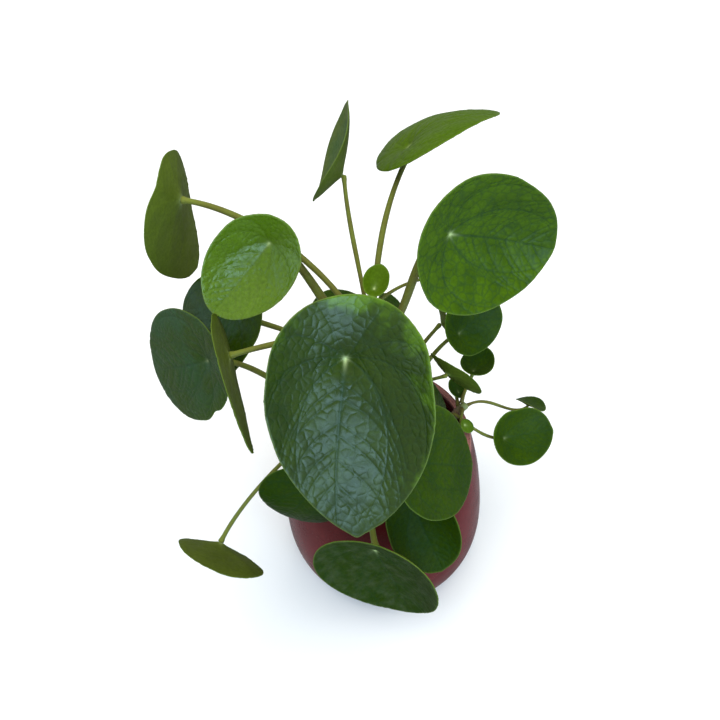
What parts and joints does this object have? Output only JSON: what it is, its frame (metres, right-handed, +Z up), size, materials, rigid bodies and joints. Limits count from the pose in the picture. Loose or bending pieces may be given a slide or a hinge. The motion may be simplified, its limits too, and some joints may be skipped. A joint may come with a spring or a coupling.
{
  "type": "potted chinese money plant",
  "caption": "Houseplant with round glossy leaves on long stalks, growing from a woody stem in soil, with a small side shoot over the rim of a rounded glazed cover pot.",
  "frame": {"origin": "centre of the pot's flat underside, on the surface it stands on", "axes": "+Z up, -Y towards the front, where the largest leaf leans out over the rim, +X to the right seen from the front"},
  "size_m": [0.2236, 0.2123, 0.2785],
  "materials": {
    "pot_glaze": "glossy dusty rose glaze, darker and redder where it is thin",
    "soil": "dark crumbly potting soil, matte",
    "stem_bark": "rough brown bark with leaf scars",
    "leaf_green": "semi-glossy, veined and slightly blistered leaf surface",
    "young_leaf_green": "glossy, yellower young leaf surface",
    "stalk_green": "satin, pale olive green"
  },
  "bodies": {
    "root": {"pot": "pot_glaze", "soil": "soil", "main_stem": "stem_bark", "side_shoot": "stem_bark", "front_leaf": "leaf_green", "front_stalk": "stalk_green", "upper_left_leaf": "young_leaf_green", "upper_left_stalk": "stalk_green", "far_left_leaf": "leaf_green", "far_left_stalk": "stalk_green", "top_edge_leaf": "leaf_green", "top_edge_stalk": "stalk_green", "top_right_leaf": "young_leaf_green", "top_right_stalk": "stalk_green", "right_large_leaf": "leaf_green", "right_large_stalk": "stalk_green", "hidden_right_leaf": "leaf_green", "hidden_right_stalk": "stalk_green", "left_low_leaf": "leaf_green", "left_low_stalk": "stalk_green", "left_narrow_leaf": "leaf_green", "left_narrow_stalk": "stalk_green", "left_back_leaf": "leaf_green", "left_back_stalk": "stalk_green", "behind_right_leaf": "leaf_green", "behind_right_stalk": "stalk_green", "right_back_leaf": "leaf_green", "right_back_stalk": "stalk_green", "crown_leaf": "young_leaf_green", "crown_stalk": "stalk_green", "crown_back_left_leaf": "leaf_green", "crown_back_left_stalk": "stalk_green", "crown_back_right_leaf": "leaf_green", "crown_back_right_stalk": "stalk_green", "front_right_leaf": "leaf_green", "front_right_stalk": "stalk_green", "right_mid_leaf": "leaf_green", "right_mid_stalk": "stalk_green", "rim_leaf_leaf": "leaf_green", "rim_leaf_stalk": "stalk_green", "pup_narrow_leaf": "leaf_green", "pup_narrow_stalk": "stalk_green", "bottom_leaf": "leaf_green", "bottom_stalk": "stalk_green", "bottom_left_leaf": "leaf_green", "bottom_left_stalk": "stalk_green", "right_low_leaf": "leaf_green", "right_low_stalk": "stalk_green", "left_front_leaf": "leaf_green", "left_front_stalk": "stalk_green", "pup_high_leaf": "leaf_green", "pup_high_stalk": "stalk_green", "pup_tiny_leaf": "leaf_green", "pup_tiny_stalk": "stalk_green", "pup_round_leaf": "leaf_green", "pup_round_stalk": "stalk_green", "pup_behind_leaf": "leaf_green", "pup_behind_stalk": "stalk_green", "sprout_leaf": "young_leaf_green", "sprout_stalk": "stalk_green"}
  },
  "joints": []
}
